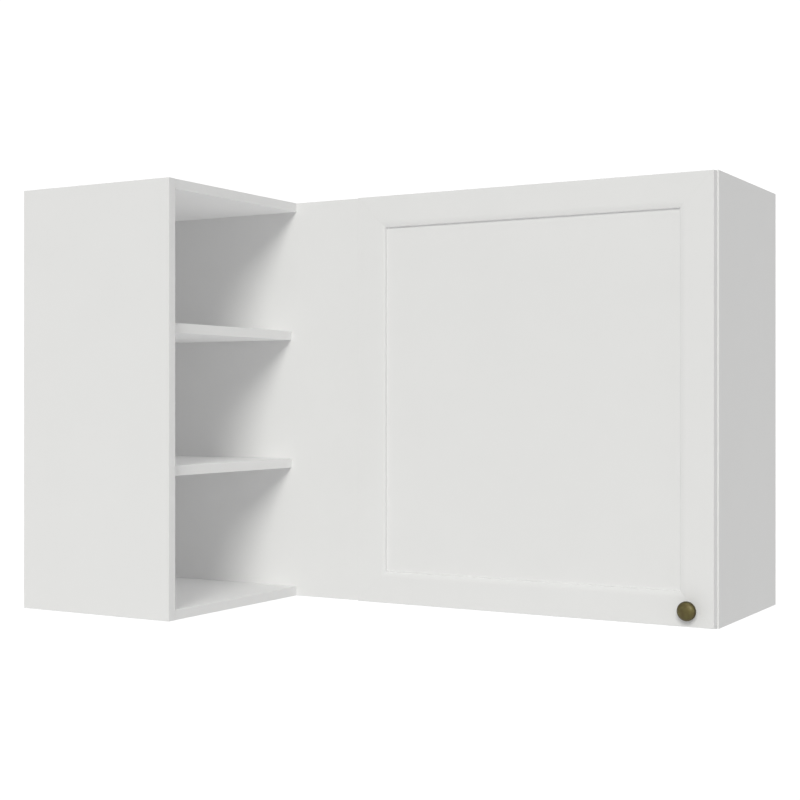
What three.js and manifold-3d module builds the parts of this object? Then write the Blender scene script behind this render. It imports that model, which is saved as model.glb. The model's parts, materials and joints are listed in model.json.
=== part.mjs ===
// Corner wall cabinet: a long closed box on the back wall with one framed door, and an open
// shelf unit that stands in front of its blind end and runs along the left wall.
//
// Millimetres, +Z up. The origin is the middle of the back face, where the cabinet meets the back
// wall. +X runs to the right seen from the front, and the door faces -Y.

import * as THREE from 'three';
import { mergeVertices } from 'three/addons/utils/BufferGeometryUtils.js';
import Module from 'manifold-3d';

const wasm = await Module();
wasm.setup();

// ---------------------------------------------------------------- driving dimensions

const cabinetHeight = 700;
const cabinetWidth = 1082;          // left wall to the outside of the right side panel
const wingDepth = 309;              // wall to front edges, the same for both wings
const nicheRunLength = 360;         // open unit along the left wall, in front of the main box
const boardThickness = 16;
const backSheetThickness = 3;
const backSheetTrim = 1;            // the back sheets stop this far short of top and bottom
const rebateWidth = 8;              // side panels are rebated this wide for a back sheet
const jointGap = 0.2;               // clearance left where two boards meet

const nicheBoardSetback = 1.2;      // top and bottom board behind the end panel's front edge
const nicheShelfSetback = 12;
const nicheShelfCount = 2;

const postDepth = 70;               // hinge post, front to back
const looseShelfDepth = 215;
const shelfEndGap = 1;
const shelfPinRadius = 2.5;
const shelfPinLength = 16;
const shelfPinEmbed = 8;
const shelfPinInset = 35;           // from the shelf's front and back edges
const pinHolePitch = 32;
const pinHoleDepth = 11;

const railHeight = 70;
const railHoleRadius = 3.5;
const railHoleInset = 90;           // outer wall holes, from the rail's ends
const railHoleCount = 4;

const doorWidth = 632.4;
const doorThickness = 16;
const doorReveal = 2;               // above and below the door
const doorSideInset = 2.1;          // door edge inside the right side panel's outer face
const doorAirGap = 1.5;             // closed door to front edges
const doorOverlay = 14;             // door over the hinge post
const frameFlat = 46.5;             // frame members: flat face, then a shallow slope, then a step
const frameSlope = 7;
const frameStep = 0.5;              // draft of the step, across the member
const slopeDrop = 1.5;
const panelRecess = 7;
const panelThickness = 4;
const grooveDepth = 8;
const mitreGap = 0.1;

const knobRadius = 15;
const knobHeight = 24;
const knobFootRadius = 9;
const knobStemRadius = 5.5;
const knobFromSide = 37.4;          // knob centre from the door's free edge
const knobFromBottom = 26.5;
const knobFootHeight = 1.6;
const knobFootFillet = 1.5;
const knobWaistStart = 5.5;         // heights above the door
const knobWaistEnd = 9;
const knobHeadBack = 15.4;
const knobHeadThickness = 3.3;      // rim of the head
const knobRimWidth = 1.1;
const knobRimChamfer = 0.6;
const knobBoreDepth = 13;
const knobScrewClearance = 2;       // bore left over past the screw's point
const knobScrewRadius = 2;
const knobScrewHeadRadius = 4.2;
const knobScrewHeadHeight = 2.2;

const bumperRadius = 4;
const bumperFromCorner = 14;

const hingeFromDoorEnd = 100;       // cup centre from the door's top and bottom
const hingeAxisFromEdge = 4.5;      // door axis from the door's hinged edge
const hingeAxisBehindFront = 7;     // and behind its front face
const cupRadius = 17.5;
const cupDepth = 12;
const cupWall = 1;
const cupFromEdge = 22.5;           // cup centre from the door's hinged edge
const flangeThickness = 0.9;
const flangeRim = 2;                // round the cup
const flangeEarRadius = 5;
const flangeOffset = 6;             // cup screws from the cup centre, away from the edge
const cupScrewSpacing = 48;
const plateFromFront = 37;
const plateLength = 44;
const plateWidth = 12;
const plateHeight = 7.5;
const plateWingThickness = 2;
const plateScrewSpacing = 32;
const hingeScrewRadius = 2.5;
const hingeScrewHeadRadius = 4;
const hingeScrewHeadHeight = 2;
const hingeScrewLength = 13;
const cupScrewRadius = 1.75;
const cupScrewHeadRadius = 3.4;
const cupScrewHeadHeight = 1.3;
const cupScrewLength = 10;
const linkInnerRadius = 14.5;
const linkOuterRadius = 18.5;
const linkStart = -4;               // degrees round the door axis, closed
const linkEnd = 46;
const linkThickness = 3.8;
const linkPitch = 4.1;              // from one link to the next along the axis
const linkSteps = 7;
const plateEarRadius = 8;
const armWall = 1.7;
const armFromFront = 5;             // channel behind the front edges
const armLipFromPost = 3.2;
const armRearCutback = 2;           // arm shorter than the plate at the rear
const noseRoot = 4;                 // how far the nose reaches back into the channel
const noseTipForward = 5;           // outer corner of the nose, in front of the front edges

const shelfScrewRadius = 2;
const shelfScrewLength = 50;
const shelfScrewHeadRadius = 4.5;
const shelfScrewHeadHeight = 2.4;
const dowelRadius = 4;
const dowelEmbed = 22;              // how far a dowel enters each of the two boards
const fastenerInset = 70;           // screws and dowels from the niche boards' edges
const fastenerGap = 0.3;            // round every screw, pin and dowel

const roundSteps = 20;
const screwSteps = 14;
const pinSteps = 12;
const knobSteps = 40;
const domeSteps = 5;
const cupSteps = 2 * roundSteps;
const cutOvershoot = 1;             // how far a cutting tool runs past the face it opens

// ---------------------------------------------------------------- planes worked out from them

const leftX = -cabinetWidth / 2;
const rightX = cabinetWidth / 2;
const topZ = cabinetHeight / 2;
const bottomZ = -topZ;
const frontY = -wingDepth;                              // front edges of the main box
const blindBackY = frontY + boardThickness;
const nicheFrontX = leftX + wingDepth;
const nicheEndY = frontY - nicheRunLength;             // outer face of the end panel
const nicheInnerY = nicheEndY + boardThickness;
const innerTopZ = topZ - boardThickness;
const innerBottomZ = bottomZ + boardThickness;
const innerLeftX = leftX + boardThickness;
const innerRightX = rightX - boardThickness;

const doorRightX = rightX - doorSideInset;
const doorLeftX = doorRightX - doorWidth;
const doorTopZ = topZ - doorReveal;
const doorBottomZ = bottomZ + doorReveal;
const doorBackY = frontY - doorAirGap;
const doorFrontY = doorBackY - doorThickness;
const postFaceX = doorLeftX + doorOverlay;              // hinge side of post and blind panel
const frameWidth = frameFlat + frameSlope + frameStep;

const nicheBoardFrontX = nicheFrontX - nicheBoardSetback;
const nicheBoardBackX = leftX + backSheetThickness + jointGap;
const clearHeight = innerTopZ - innerBottomZ;
const shelfPitch = (clearHeight + boardThickness) / (nicheShelfCount + 1);
const shelfBottoms = [];
for (let i = 1; i <= nicheShelfCount; i += 1) {
  shelfBottoms.push(innerBottomZ + i * shelfPitch - boardThickness);
}

function levelName(i) {
  if (i === 0) {
    return 'lower';
  }
  return i === nicheShelfCount - 1 ? 'upper' : `middle_${i}`;
}

const looseShelfBackY = -backSheetThickness - 2 * jointGap;
const looseShelfFrontY = looseShelfBackY - looseShelfDepth;
const railBackY = -backSheetThickness - jointGap;
const railFrontY = railBackY - boardThickness;

const cupX = doorLeftX + cupFromEdge;
const knobX = doorRightX - knobFromSide;
const knobZ = doorBottomZ + knobFromBottom;
const hingeAxisX = doorLeftX + hingeAxisFromEdge;
const hingeAxisY = doorFrontY + hingeAxisBehindFront;

// ---------------------------------------------------------------- materials

const boardWhite = new THREE.MeshStandardMaterial({ color: 0xe6e6e3, roughness: 0.55, metalness: 0 });
const doorWhite = new THREE.MeshStandardMaterial({ color: 0xe7e7e4, roughness: 0.42, metalness: 0 });
const sheetWhite = new THREE.MeshStandardMaterial({ color: 0xdedcd6, roughness: 0.7, metalness: 0 });
const oldBrass = new THREE.MeshStandardMaterial({ color: 0x5f5334, roughness: 0.45, metalness: 0.9 });
const nickel = new THREE.MeshStandardMaterial({ color: 0xb9b9b4, roughness: 0.35, metalness: 1 });
const zincScrew = new THREE.MeshStandardMaterial({ color: 0xa6a7a3, roughness: 0.45, metalness: 1 });
const beech = new THREE.MeshStandardMaterial({ color: 0xc9a878, roughness: 0.7, metalness: 0 });
const clearRubber = new THREE.MeshStandardMaterial({ color: 0xd8d8d2, roughness: 0.35, metalness: 0 });

const cabinet = new THREE.Group();

function addPiece(name, geometry, material) {
  const mesh = new THREE.Mesh(geometry, material);
  mesh.name = name;
  cabinet.add(mesh);
}

// ---------------------------------------------------------------- shape helpers

// A closed geometry as a solid that can be joined and cut.
function toSolid(geometry) {
  const bare = geometry.index ? geometry.toNonIndexed() : geometry.clone();
  bare.deleteAttribute('normal');
  bare.deleteAttribute('uv');
  const merged = mergeVertices(bare, 1e-4);
  return new wasm.Manifold(new wasm.Mesh({
    numProp: 3,
    vertProperties: merged.attributes.position.array,
    triVerts: new Uint32Array(merged.index.array),
  }));
}

function toGeometry(solid) {
  const mesh = solid.getMesh();
  const geometry = new THREE.BufferGeometry();
  geometry.setAttribute('position', new THREE.BufferAttribute(new Float32Array(mesh.vertProperties), 3));
  geometry.setIndex(new THREE.BufferAttribute(new Uint32Array(mesh.triVerts), 1));
  geometry.computeVertexNormals();
  return geometry;
}

function cut(base, tools) {
  let solid = toSolid(base);
  for (const tool of tools) {
    solid = solid.subtract(toSolid(tool));
  }
  return toGeometry(solid);
}

function join(pieces) {
  let solid = toSolid(pieces[0]);
  for (const piece of pieces.slice(1)) {
    solid = solid.add(toSolid(piece));
  }
  return toGeometry(solid);
}

function block(x0, x1, y0, y1, z0, z1) {
  const geometry = new THREE.BoxGeometry(x1 - x0, y1 - y0, z1 - z0);
  geometry.translate((x0 + x1) / 2, (y0 + y1) / 2, (z0 + z1) / 2);
  return geometry;
}

// A plan outline, drawn in X and Y, raised from z0 to z1.
function raised(points, z0, z1) {
  const shape = new THREE.Shape(points.map(([x, y]) => new THREE.Vector2(x, y)));
  const geometry = new THREE.ExtrudeGeometry(shape, { depth: z1 - z0, bevelEnabled: false });
  geometry.translate(0, 0, z0);
  return geometry;
}

// Round bars along one axis, from one value on that axis to another.
function rodX(radius, x0, x1, y, z, steps = roundSteps) {
  const geometry = new THREE.CylinderGeometry(radius, radius, x1 - x0, steps);
  geometry.rotateZ(-Math.PI / 2);
  geometry.translate((x0 + x1) / 2, y, z);
  return geometry;
}

function rodY(radius, y0, y1, x, z, steps = roundSteps) {
  const geometry = new THREE.CylinderGeometry(radius, radius, y1 - y0, steps);
  geometry.translate(x, (y0 + y1) / 2, z);
  return geometry;
}

// A profile of [radius, height] points, turned. Its height runs along +Y.
function turned(profile, steps) {
  const points = profile.map(([radius, height]) => new THREE.Vector2(radius, height));
  return new THREE.LatheGeometry(points, steps);
}

// The same, laid so that its height runs along -Y, into or out of the door and the blind panel.
function turnedForward(profile, x, y, z, steps = roundSteps) {
  const geometry = turned(profile, steps);
  geometry.rotateX(Math.PI);
  geometry.translate(x, y, z);
  return geometry;
}

// And so that it runs along -X, into the hinge post.
function turnedLeft(profile, x, y, z, steps = roundSteps) {
  const geometry = turned(profile, steps);
  geometry.rotateZ(Math.PI / 2);
  geometry.translate(x, y, z);
  return geometry;
}

// Half section of a screw with a rounded head, from the top of the head to its point.
function screwProfile(headRadius, headHeight, shankRadius, length) {
  return [
    [0, -headHeight], [headRadius * 0.6, -headHeight], [headRadius, -headHeight * 0.4],
    [headRadius, 0], [shankRadius, 0], [shankRadius, length - shankRadius * 1.5], [0, length],
  ];
}

// ---------------------------------------------------------------- fastener places

// The two lines of screws or dowels along a niche board, from its front and back edges.
const fastenerXs = [nicheFrontX - fastenerInset, leftX + fastenerInset];
const fastenerSides = ['front', 'back'];
const shelfScrewZs = shelfBottoms.map((z) => z + boardThickness / 2);
const dowelZs = { bottom: bottomZ + boardThickness / 2, top: topZ - boardThickness / 2 };
const shelfPinYs = {
  front: looseShelfFrontY + shelfPinInset,
  back: looseShelfBackY - shelfPinInset,
};

function pinZ(shelfBottom) {
  return shelfBottom - shelfPinRadius - fastenerGap;
}

function hingeZs() {
  return { lower: doorBottomZ + hingeFromDoorEnd, upper: doorTopZ - hingeFromDoorEnd };
}

// ---------------------------------------------------------------- main box

// Rows of pin holes in a side panel: the pin in use and one hole above and below it.
function pinHoles(x0, x1) {
  const holes = [];
  for (const shelfBottom of shelfBottoms) {
    for (const y of Object.values(shelfPinYs)) {
      for (const step of [-1, 0, 1]) {
        const z = pinZ(shelfBottom) + step * pinHolePitch;
        holes.push(rodX(shelfPinRadius + fastenerGap, x0, x1, y, z, pinSteps));
      }
    }
  }
  return holes;
}

function rightSidePanel() {
  const rebateX = innerRightX + rebateWidth;
  const body = raised([
    [innerRightX, frontY], [rightX, frontY], [rightX, 0], [rebateX, 0],
    [rebateX, -backSheetThickness - jointGap], [innerRightX, -backSheetThickness - jointGap],
  ], bottomZ, topZ);
  return cut(body, pinHoles(innerRightX - cutOvershoot, innerRightX + pinHoleDepth));
}

function cornerSidePanel() {
  const rebateX = innerLeftX - rebateWidth;
  const body = raised([
    [leftX, blindBackY + jointGap], [innerLeftX, blindBackY + jointGap],
    [innerLeftX, -backSheetThickness - jointGap], [rebateX, -backSheetThickness - jointGap],
    [rebateX, 0], [leftX, 0],
  ], bottomZ, topZ);
  return cut(body, pinHoles(innerLeftX - pinHoleDepth, innerLeftX + cutOvershoot));
}

// Top and bottom panels run behind the blind panel and come forward to the front beside it.
function mainDeck(z0, z1, dowelZ) {
  const backY = -backSheetThickness - jointGap;
  const body = raised([
    [innerLeftX + jointGap, blindBackY + jointGap], [postFaceX + jointGap, blindBackY + jointGap],
    [postFaceX + jointGap, frontY], [innerRightX - jointGap, frontY],
    [innerRightX - jointGap, backY], [innerLeftX + jointGap, backY],
  ], z0, z1);
  const sockets = fastenerXs.map((x) => rodY(
    dowelRadius + fastenerGap, blindBackY - cutOvershoot, blindBackY + dowelEmbed + fastenerGap, x, dowelZ,
  ));
  return cut(body, sockets);
}

function blindPanel() {
  const body = block(leftX, postFaceX, frontY, blindBackY, bottomZ, topZ);
  const holes = [];
  for (const x of fastenerXs) {
    for (const z of shelfScrewZs) {
      holes.push(rodY(shelfScrewRadius + fastenerGap, frontY - cutOvershoot, blindBackY + cutOvershoot, x, z));
    }
    for (const z of Object.values(dowelZs)) {
      holes.push(rodY(dowelRadius + fastenerGap, frontY - cutOvershoot, blindBackY + cutOvershoot, x, z));
    }
  }
  return cut(body, holes);
}

function hingePost() {
  const body = block(
    postFaceX - boardThickness, postFaceX, blindBackY + jointGap, blindBackY + postDepth,
    innerBottomZ + jointGap, innerTopZ - jointGap,
  );
  const holes = [];
  for (const z of Object.values(hingeZs())) {
    for (const side of [-1, 1]) {
      const depth = hingeScrewLength - plateWingThickness + fastenerGap;
      holes.push(rodX(
        hingeScrewRadius + fastenerGap, postFaceX - depth, postFaceX + cutOvershoot,
        frontY + plateFromFront, z + side * plateScrewSpacing / 2,
      ));
    }
  }
  return cut(body, holes);
}

function railHoles(y0, y1) {
  const holes = [];
  const first = innerLeftX + railHoleInset;
  const pitch = (innerRightX - innerLeftX - 2 * railHoleInset) / (railHoleCount - 1);
  for (let i = 0; i < railHoleCount; i += 1) {
    holes.push(rodY(railHoleRadius, y0, y1, first + i * pitch, innerTopZ - railHeight / 2));
  }
  return holes;
}

function mainBackSheet() {
  const body = block(
    innerLeftX - rebateWidth + jointGap, innerRightX + rebateWidth - jointGap,
    -backSheetThickness, 0, bottomZ + backSheetTrim, topZ - backSheetTrim,
  );
  return cut(body, railHoles(-backSheetThickness - cutOvershoot, cutOvershoot));
}

function hangingRail() {
  const body = block(
    innerLeftX + jointGap, innerRightX - jointGap, railFrontY, railBackY,
    innerTopZ - railHeight, innerTopZ - jointGap,
  );
  return cut(body, railHoles(railFrontY - cutOvershoot, railBackY + cutOvershoot));
}

function looseShelf(z) {
  return block(
    innerLeftX + shelfEndGap, innerRightX - shelfEndGap, looseShelfFrontY, looseShelfBackY,
    z, z + boardThickness,
  );
}

function shelfPin(side, y, z) {
  const wallX = side === 'left' ? innerLeftX : innerRightX;
  const out = side === 'left' ? -shelfPinEmbed : shelfPinEmbed - shelfPinLength;
  return rodX(shelfPinRadius, wallX + out, wallX + out + shelfPinLength, y, z, pinSteps);
}

function buildMainBox() {
  addPiece('right_side_panel', rightSidePanel(), boardWhite);
  addPiece('corner_side_panel', cornerSidePanel(), boardWhite);
  addPiece('main_top_panel', mainDeck(innerTopZ, topZ, dowelZs.top), boardWhite);
  addPiece('main_bottom_panel', mainDeck(bottomZ, innerBottomZ, dowelZs.bottom), boardWhite);
  addPiece('blind_panel', blindPanel(), boardWhite);
  addPiece('hinge_post', hingePost(), boardWhite);
  addPiece('main_back_sheet', mainBackSheet(), sheetWhite);
  addPiece('hanging_rail', hangingRail(), boardWhite);
  shelfBottoms.forEach((z, i) => {
    addPiece(`main_shelf_${levelName(i)}`, looseShelf(z), boardWhite);
    for (const side of ['left', 'right']) {
      for (const [place, y] of Object.entries(shelfPinYs)) {
        const pin = shelfPin(side, y, pinZ(z));
        addPiece(`shelf_pin_${levelName(i)}_${side}_${place}`, pin, nickel);
      }
    }
  });
}

// ---------------------------------------------------------------- open unit

function nicheEndPanel() {
  const rebateX = leftX + backSheetThickness + jointGap;
  const rebateY = nicheInnerY - rebateWidth;
  return raised([
    [leftX, nicheEndY], [nicheFrontX, nicheEndY], [nicheFrontX, nicheInnerY],
    [rebateX, nicheInnerY], [rebateX, rebateY], [leftX, rebateY],
  ], bottomZ, topZ);
}

function nicheBoard(frontX, z0, z1, holes) {
  const body = block(
    nicheBoardBackX, frontX, nicheInnerY + jointGap, frontY - jointGap, z0, z1,
  );
  return cut(body, holes);
}

function nicheDeck(z0, z1, dowelZ) {
  const reach = dowelEmbed + fastenerGap;
  const holes = fastenerXs.map((x) => rodY(
    dowelRadius + fastenerGap, frontY - reach, frontY + cutOvershoot, x, dowelZ,
  ));
  return nicheBoard(nicheBoardFrontX, z0, z1, holes);
}

function nicheShelf(z0) {
  const reach = shelfScrewLength - boardThickness + fastenerGap;
  const holes = fastenerXs.map((x) => rodY(
    shelfScrewRadius + fastenerGap, frontY - reach, frontY + cutOvershoot, x, z0 + boardThickness / 2,
  ));
  return nicheBoard(nicheFrontX - nicheShelfSetback, z0, z0 + boardThickness, holes);
}

function nicheBackSheet() {
  return block(
    leftX, leftX + backSheetThickness,
    nicheInnerY - rebateWidth + jointGap, frontY - jointGap,
    bottomZ + backSheetTrim, topZ - backSheetTrim,
  );
}

// Screw from inside the main box, through the blind panel, into a niche shelf.
function shelfScrew(x, z) {
  const profile = screwProfile(
    shelfScrewHeadRadius, shelfScrewHeadHeight, shelfScrewRadius, shelfScrewLength,
  );
  return turnedForward(profile, x, blindBackY + fastenerGap, z, screwSteps);
}

function buildOpenUnit() {
  addPiece('niche_end_panel', nicheEndPanel(), boardWhite);
  addPiece('niche_top_board', nicheDeck(innerTopZ, topZ, dowelZs.top), boardWhite);
  addPiece('niche_bottom_board', nicheDeck(bottomZ, innerBottomZ, dowelZs.bottom), boardWhite);
  addPiece('niche_back_sheet', nicheBackSheet(), sheetWhite);
  shelfBottoms.forEach((z, i) => {
    addPiece(`niche_shelf_${levelName(i)}`, nicheShelf(z), boardWhite);
  });
  fastenerXs.forEach((x, k) => {
    shelfScrewZs.forEach((z, i) => {
      addPiece(`niche_screw_${levelName(i)}_${fastenerSides[k]}`, shelfScrew(x, z), zincScrew);
    });
    for (const [level, z] of Object.entries(dowelZs)) {
      const dowel = rodY(dowelRadius, frontY - dowelEmbed, blindBackY + dowelEmbed, x, z);
      addPiece(`joining_dowel_${level}_${fastenerSides[k]}`, dowel, beech);
    }
  });
}

// ---------------------------------------------------------------- door

// Section of a frame member: back from the door's front face, and across it from the door's edge.
function frameSection() {
  const slopeEnd = frameFlat + frameSlope;
  const grooveFront = panelRecess - jointGap;
  const grooveBack = panelRecess + panelThickness + jointGap;
  const grooveEdge = frameWidth - grooveDepth;
  return [
    [0, 0], [0, frameFlat], [slopeDrop, slopeEnd], [grooveFront, frameWidth],
    [grooveFront, grooveEdge], [grooveBack, grooveEdge],
    [grooveBack, frameWidth], [doorThickness, frameWidth], [doorThickness, 0],
  ];
}

// A member as long as its side of the door, with both ends mitred. It lies along +X from the
// origin, with its outer edge on the X axis, its front face at Y = 0 and its width along +Z.
function frameMember(length) {
  const shape = new THREE.Shape(frameSection().map(([back, across]) => new THREE.Vector2(back, across)));
  const geometry = new THREE.ExtrudeGeometry(shape, { depth: length, bevelEnabled: false });
  const position = geometry.attributes.position;
  for (let i = 0; i < position.count; i += 1) {
    const back = position.getX(i);
    const across = position.getY(i);
    const shortened = across + mitreGap / Math.SQRT2;
    const along = position.getZ(i) > length / 2 ? length - shortened : shortened;
    position.setXYZ(i, along, back, across);
  }
  return geometry;
}

function bottomRail() {
  const rail = frameMember(doorWidth);
  rail.translate(doorLeftX, doorFrontY, doorBottomZ);
  const screwHole = rodY(
    knobScrewRadius + fastenerGap, doorFrontY - cutOvershoot, doorBackY + cutOvershoot, knobX, knobZ,
  );
  return cut(rail, [screwHole]);
}

function topRail() {
  const rail = frameMember(doorWidth);
  rail.rotateY(Math.PI);
  rail.translate(doorRightX, doorFrontY, doorTopZ);
  return rail;
}

function knobSideStile() {
  const stile = frameMember(doorTopZ - doorBottomZ);
  stile.rotateY(-Math.PI / 2);
  stile.translate(doorRightX, doorFrontY, doorBottomZ);
  return stile;
}

function hingeSideStile() {
  const stile = frameMember(doorTopZ - doorBottomZ);
  stile.rotateY(Math.PI / 2);
  stile.translate(doorLeftX, doorFrontY, doorTopZ);
  const holes = [];
  for (const z of Object.values(hingeZs())) {
    holes.push(rodY(
      cupRadius + fastenerGap, doorBackY - cupDepth - fastenerGap, doorBackY + cutOvershoot, cupX, z, cupSteps,
    ));
    for (const side of [-1, 1]) {
      holes.push(rodY(
        cupScrewRadius + fastenerGap, doorBackY - cupScrewLength, doorBackY + cutOvershoot,
        cupX + flangeOffset, z + side * cupScrewSpacing / 2, pinSteps,
      ));
    }
  }
  return cut(stile, holes);
}

function doorPanel() {
  const edge = frameWidth - grooveDepth + jointGap;
  return block(
    doorLeftX + edge, doorRightX - edge,
    doorFrontY + panelRecess, doorFrontY + panelRecess + panelThickness,
    doorBottomZ + edge, doorTopZ - edge,
  );
}

// Foot, waist and a domed head with a raised rim, bored from the back for its screw.
function knob() {
  const bore = knobScrewRadius + fastenerGap;
  const headFront = knobHeadBack + knobHeadThickness;
  const domeRadius = knobRadius - knobRimWidth;
  const domeBase = headFront - knobRimChamfer;
  const profile = [
    [0, knobBoreDepth], [bore, knobBoreDepth], [bore, jointGap], [knobFootRadius, jointGap],
    [knobFootRadius, knobFootHeight],
    [knobFootRadius - knobFootFillet, knobFootHeight + knobFootFillet],
    [knobStemRadius, knobWaistStart], [knobStemRadius, knobWaistEnd],
    [domeRadius, knobHeadBack - knobRimChamfer], [knobRadius, knobHeadBack + knobRimChamfer],
    [knobRadius, headFront - knobRimChamfer], [knobRadius - knobRimChamfer, headFront],
    [domeRadius, domeBase],
  ];
  for (let i = 1; i <= domeSteps; i += 1) {
    const angle = (i / domeSteps) * Math.PI / 2;
    const radius = i === domeSteps ? 0 : domeRadius * Math.cos(angle);
    profile.push([radius, domeBase + (knobHeight - domeBase) * Math.sin(angle)]);
  }
  return turnedForward(profile, knobX, doorFrontY, knobZ, knobSteps);
}

function knobScrew() {
  const length = doorThickness + knobBoreDepth - knobScrewClearance;
  const profile = screwProfile(knobScrewHeadRadius, knobScrewHeadHeight, knobScrewRadius, length);
  return turnedForward(profile, knobX, doorBackY + jointGap, knobZ, screwSteps);
}

function bumper(z) {
  return rodY(
    bumperRadius, doorBackY + jointGap, frontY - jointGap, innerRightX + boardThickness / 2, z, screwSteps,
  );
}

function buildDoor() {
  addPiece('door_stile_hinge_side', hingeSideStile(), doorWhite);
  addPiece('door_stile_knob_side', knobSideStile(), doorWhite);
  addPiece('door_rail_top', topRail(), doorWhite);
  addPiece('door_rail_bottom', bottomRail(), doorWhite);
  addPiece('door_panel', doorPanel(), doorWhite);
  addPiece('knob', knob(), oldBrass);
  addPiece('knob_screw', knobScrew(), zincScrew);
  addPiece('door_bumper_top', bumper(doorTopZ - bumperFromCorner), clearRubber);
  addPiece('door_bumper_bottom', bumper(doorBottomZ + bumperFromCorner), clearRubber);
}

// ---------------------------------------------------------------- concealed hinges

// The band that the links and the arm's nose share, in plan, round the door's axis.
function linkBand() {
  const points = [];
  for (const radius of [linkOuterRadius, linkInnerRadius]) {
    for (let i = 0; i <= linkSteps; i += 1) {
      const share = radius === linkOuterRadius ? i / linkSteps : 1 - i / linkSteps;
      const angle = THREE.MathUtils.degToRad(linkStart + share * (linkEnd - linkStart));
      points.push([hingeAxisX + radius * Math.cos(angle), hingeAxisY + radius * Math.sin(angle)]);
    }
  }
  return points;
}

// The arm's nose, the inner link and the outer link lie on each other along the door's axis.
function linkLayer(level, hingeZ) {
  const middle = hingeZ + (level - 1) * linkPitch;
  return [middle - linkThickness / 2, middle + linkThickness / 2];
}

function hingeLink(level, hingeZ) {
  return raised(linkBand(), ...linkLayer(level, hingeZ));
}

function mountingPlate(z) {
  const seatX = postFaceX + jointGap;
  const wingX = seatX + plateWingThickness;
  const middleY = frontY + plateFromFront;
  const reach = plateScrewSpacing / 2;
  const plate = join([
    block(seatX, seatX + plateHeight, middleY - plateLength / 2, middleY + plateLength / 2,
      z - plateWidth / 2, z + plateWidth / 2),
    block(seatX, wingX, middleY - plateEarRadius, middleY + plateEarRadius, z - reach, z + reach),
    rodX(plateEarRadius, seatX, wingX, middleY, z - reach),
    rodX(plateEarRadius, seatX, wingX, middleY, z + reach),
  ]);
  return cut(plate, [-1, 1].map((side) => rodX(
    hingeScrewRadius + fastenerGap, seatX - cutOvershoot, wingX + cutOvershoot, middleY, z + side * reach, screwSteps,
  )));
}

function plateScrew(z) {
  const profile = screwProfile(
    hingeScrewHeadRadius, hingeScrewHeadHeight, hingeScrewRadius, hingeScrewLength,
  );
  const seatX = postFaceX + plateWingThickness + 2 * jointGap;
  return turnedLeft(profile, seatX, frontY + plateFromFront, z, screwSteps);
}

// Plan point on the link band's middle line, at an angle round the door's axis.
function onLinkBand(degrees) {
  const radius = (linkInnerRadius + linkOuterRadius) / 2;
  const angle = THREE.MathUtils.degToRad(degrees);
  return [hingeAxisX + radius * Math.cos(angle), hingeAxisY + radius * Math.sin(angle)];
}

// A channel over the plate's spine, with a nose that reaches into the cup.
function hingeArm(z) {
  const lipX = postFaceX + armLipFromPost;
  const innerX = postFaceX + jointGap + plateHeight + fastenerGap;
  const outerX = innerX + armWall;
  const half = plateWidth / 2 + fastenerGap + armWall;
  const startY = frontY + armFromFront;
  const rearY = frontY + plateFromFront + plateLength / 2 - armRearCutback;
  const [noseLow, noseHigh] = linkLayer(0, z);
  return join([
    block(innerX, outerX, startY, rearY, z - half, z + half),
    block(lipX, outerX, startY, rearY, z - half, z - half + armWall),
    block(lipX, outerX, startY, rearY, z + half - armWall, z + half),
    raised(linkBand(), noseLow, noseHigh),
    raised([
      [lipX, startY + noseRoot], [outerX, startY + noseRoot], [outerX, frontY - noseTipForward],
      onLinkBand((linkStart + linkEnd) / 4), onLinkBand(linkEnd - 2),
    ], noseLow, noseHigh),
  ]);
}

function hingeCup(z) {
  const flangeSeat = -jointGap;
  const flangeTop = flangeSeat - flangeThickness;
  const mouth = cupRadius - cupWall;
  const bowl = turnedForward([
    [0, cupDepth - cupWall], [mouth, cupDepth - cupWall], [mouth, flangeTop],
    [cupRadius + flangeRim, flangeTop], [cupRadius + flangeRim, flangeSeat],
    [cupRadius, flangeSeat], [cupRadius, cupDepth], [0, cupDepth],
  ], cupX, doorBackY, z, cupSteps);
  const seatY = doorBackY + jointGap;
  const topY = seatY + flangeThickness;
  const earX = cupX + flangeOffset;
  const reach = cupScrewSpacing / 2;
  const ears = join([
    block(earX - flangeEarRadius, earX + flangeEarRadius, seatY, topY, z - reach, z + reach),
    rodY(flangeEarRadius, seatY, topY, earX, z - reach),
    rodY(flangeEarRadius, seatY, topY, earX, z + reach),
  ]);
  const openEars = cut(ears, [
    rodY(cupRadius - cupWall / 2, seatY - cutOvershoot, topY + cutOvershoot, cupX, z, cupSteps),
    ...[-1, 1].map((side) => rodY(
      cupScrewRadius + fastenerGap, seatY - cutOvershoot, topY + cutOvershoot, earX, z + side * reach, screwSteps,
    )),
  ]);
  return join([bowl, openEars]);
}

function cupScrew(z) {
  const profile = screwProfile(
    cupScrewHeadRadius, cupScrewHeadHeight, cupScrewRadius, cupScrewLength,
  );
  const seatY = doorBackY + 2 * jointGap + flangeThickness;
  return turnedForward(profile, cupX + flangeOffset, seatY, z, screwSteps);
}

function buildHinge(level, z) {
  addPiece(`hinge_plate_${level}`, mountingPlate(z), nickel);
  addPiece(`hinge_arm_${level}`, hingeArm(z), nickel);
  addPiece(`hinge_inner_link_${level}`, hingeLink(1, z), nickel);
  addPiece(`hinge_outer_link_${level}`, hingeLink(2, z), nickel);
  addPiece(`hinge_cup_${level}`, hingeCup(z), nickel);
  [['a', -1], ['b', 1]].forEach(([letter, side]) => {
    addPiece(`plate_screw_${level}_${letter}`, plateScrew(z + side * plateScrewSpacing / 2), zincScrew);
    addPiece(`cup_screw_${level}_${letter}`, cupScrew(z + side * cupScrewSpacing / 2), zincScrew);
  });
}

// ---------------------------------------------------------------- the whole cabinet

buildMainBox();
buildOpenUnit();
buildDoor();
for (const [level, z] of Object.entries(hingeZs())) {
  buildHinge(level, z);
}

export default cabinet;
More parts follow.
